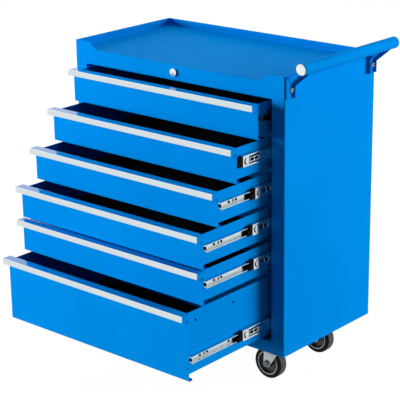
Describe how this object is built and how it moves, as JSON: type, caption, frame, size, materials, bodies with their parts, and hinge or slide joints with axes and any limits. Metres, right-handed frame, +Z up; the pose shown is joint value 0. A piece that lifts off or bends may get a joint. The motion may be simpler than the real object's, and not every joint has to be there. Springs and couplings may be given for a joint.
{
  "type": "drawer tool cabinet",
  "caption": "Roller tool cabinet with folded steel body, top tray, push handle, drawers on two-stage ball slides, central lock and swivel and fixed casters.",
  "frame": {"origin": "middle of the whole cabinet's bounding box in X and Y, with the drawers open as stored, on the floor under the casters in Z", "axes": "+X to the cabinet's right as seen from its front, where the push handle is; drawers open towards -Y; +Z up"},
  "size_m": [0.675, 0.6216, 0.765],
  "materials": {
    "blue_paint": "smooth gloss powder coat",
    "liner_black": "ribbed, dull",
    "pull_aluminium": "satin anodised",
    "slide_zinc": "bright zinc",
    "fork_zinc": "bright zinc",
    "lock_chrome": "polished",
    "cap_white": "gloss",
    "bolt_dark": "dark zinc",
    "axle_steel": "zinc",
    "hub_plastic": "matt",
    "tyre_rubber": "matt"
  },
  "bodies": {
    "cabinet": {"side_panel_left": "blue_paint", "side_panel_right": "blue_paint", "back_panel": "blue_paint", "base_panel": "blue_paint", "front_header": "blue_paint", "tray_pan": "blue_paint", "slide_posts": "blue_paint", "outer_slides": "slide_zinc", "lock_housing": "lock_chrome", "handle_tube": "blue_paint", "handle_brackets": "blue_paint", "handle_end_caps": "cap_white", "mounting_bolts": "bolt_dark", "rigid_caster_frames": "fork_zinc", "swivel_caster_plates": "fork_zinc", "rigid_caster_axles": "axle_steel"},
    "lock_core": {"lock_core": "lock_chrome"},
    "lock_bar": {"lock_bar": "slide_zinc"},
    "drawer_1_runners": {"drawer_1_mid_slides": "slide_zinc"},
    "drawer_1": {"drawer_1_box": "blue_paint", "drawer_1_pull": "pull_aluminium", "drawer_1_liner": "liner_black", "drawer_1_inner_slides": "slide_zinc"},
    "drawer_2_runners": {"drawer_2_mid_slides": "slide_zinc"},
    "drawer_2": {"drawer_2_box": "blue_paint", "drawer_2_pull": "pull_aluminium", "drawer_2_liner": "liner_black", "drawer_2_inner_slides": "slide_zinc"},
    "drawer_3_runners": {"drawer_3_mid_slides": "slide_zinc"},
    "drawer_3": {"drawer_3_box": "blue_paint", "drawer_3_pull": "pull_aluminium", "drawer_3_liner": "liner_black", "drawer_3_inner_slides": "slide_zinc"},
    "drawer_4_runners": {"drawer_4_mid_slides": "slide_zinc"},
    "drawer_4": {"drawer_4_box": "blue_paint", "drawer_4_pull": "pull_aluminium", "drawer_4_liner": "liner_black", "drawer_4_inner_slides": "slide_zinc"},
    "drawer_5_runners": {"drawer_5_mid_slides": "slide_zinc"},
    "drawer_5": {"drawer_5_box": "blue_paint", "drawer_5_pull": "pull_aluminium", "drawer_5_liner": "liner_black", "drawer_5_inner_slides": "slide_zinc"},
    "drawer_6_runners": {"drawer_6_mid_slides": "slide_zinc"},
    "drawer_6": {"drawer_6_box": "blue_paint", "drawer_6_pull": "pull_aluminium", "drawer_6_liner": "liner_black", "drawer_6_inner_slides": "slide_zinc"},
    "left_front_wheel": {"left_front_hub": "hub_plastic", "left_front_tyre": "tyre_rubber"},
    "left_rear_wheel": {"left_rear_hub": "hub_plastic", "left_rear_tyre": "tyre_rubber"},
    "right_front_swivel": {"right_front_fork": "fork_zinc", "right_front_axle": "axle_steel"},
    "right_front_wheel": {"right_front_hub": "hub_plastic", "right_front_tyre": "tyre_rubber"},
    "right_rear_swivel": {"right_rear_fork": "fork_zinc", "right_rear_axle": "axle_steel"},
    "right_rear_wheel": {"right_rear_hub": "hub_plastic", "right_rear_tyre": "tyre_rubber"}
  },
  "joints": [
    {"name": "drawer_1_runner_slide", "type": "slide", "parent": "cabinet", "child": "drawer_1_runners", "axis": [0, -1, 0], "range_m": [-0.006, 0.154]},
    {"name": "drawer_1_slide", "type": "slide", "parent": "drawer_1_runners", "child": "drawer_1", "axis": [0, -1, 0], "range_m": [-0.038, 0.122]},
    {"name": "drawer_2_runner_slide", "type": "slide", "parent": "cabinet", "child": "drawer_2_runners", "axis": [0, -1, 0], "range_m": [-0.112, 0.048]},
    {"name": "drawer_2_slide", "type": "slide", "parent": "drawer_2_runners", "child": "drawer_2", "axis": [0, -1, 0], "range_m": [-0.0015, 0.1585]},
    {"name": "drawer_3_runner_slide", "type": "slide", "parent": "cabinet", "child": "drawer_3_runners", "axis": [0, -1, 0], "range_m": [-0.0715, 0.0885]},
    {"name": "drawer_3_slide", "type": "slide", "parent": "drawer_3_runners", "child": "drawer_3", "axis": [0, -1, 0], "range_m": [-0.102, 0.058]},
    {"name": "drawer_4_runner_slide", "type": "slide", "parent": "cabinet", "child": "drawer_4_runners", "axis": [0, -1, 0], "range_m": [-0.081, 0.079]},
    {"name": "drawer_4_slide", "type": "slide", "parent": "drawer_4_runners", "child": "drawer_4", "axis": [0, -1, 0], "range_m": [-0.141, 0.019]},
    {"name": "drawer_5_runner_slide", "type": "slide", "parent": "cabinet", "child": "drawer_5_runners", "axis": [0, -1, 0], "range_m": [-0.0775, 0.0825]},
    {"name": "drawer_5_slide", "type": "slide", "parent": "drawer_5_runners", "child": "drawer_5", "axis": [0, -1, 0], "range_m": [-0.1455, 0.0145]},
    {"name": "drawer_6_runner_slide", "type": "slide", "parent": "cabinet", "child": "drawer_6_runners", "axis": [0, -1, 0], "range_m": [-0.115, 0.045]},
    {"name": "drawer_6_slide", "type": "slide", "parent": "drawer_6_runners", "child": "drawer_6", "axis": [0, -1, 0], "range_m": [-0.1565, 0.0035]},
    {"name": "lock_bar_lift", "type": "slide", "parent": "cabinet", "child": "lock_bar", "axis": [0, 0, 1], "range_m": [0, 0.006]},
    {"name": "lock_turn", "type": "hinge", "parent": "cabinet", "child": "lock_core", "pos_m": [-0.03, -0.02225, 0.695], "axis": [0, 1, 0], "range_deg": [0, 90]},
    {"name": "left_front_wheel_spin", "type": "hinge", "parent": "cabinet", "child": "left_front_wheel", "pos_m": [-0.2685, 0.04875, 0.0375], "axis": [0, 1, 0], "continuous": true},
    {"name": "left_rear_wheel_spin", "type": "hinge", "parent": "cabinet", "child": "left_rear_wheel", "pos_m": [-0.2685, 0.23175, 0.0375], "axis": [0, 1, 0], "continuous": true},
    {"name": "right_front_swivel_turn", "type": "hinge", "parent": "cabinet", "child": "right_front_swivel", "pos_m": [0.2085, 0.04875, 0.097], "axis": [0, 0, 1], "continuous": true},
    {"name": "right_front_wheel_spin", "type": "hinge", "parent": "right_front_swivel", "child": "right_front_wheel", "pos_m": [0.1865, 0.04875, 0.0375], "axis": [0, 1, 0], "continuous": true},
    {"name": "right_rear_swivel_turn", "type": "hinge", "parent": "cabinet", "child": "right_rear_swivel", "pos_m": [0.2085, 0.23175, 0.097], "axis": [0, 0, 1], "continuous": true},
    {"name": "right_rear_wheel_spin", "type": "hinge", "parent": "right_rear_swivel", "child": "right_rear_wheel", "pos_m": [0.1865, 0.23175, 0.0375], "axis": [0, 1, 0], "continuous": true}
  ],
  "couplings": [
    {"joint": "lock_turn", "follows": "lock_bar_lift", "rad_per_m": 261.8}
  ]
}
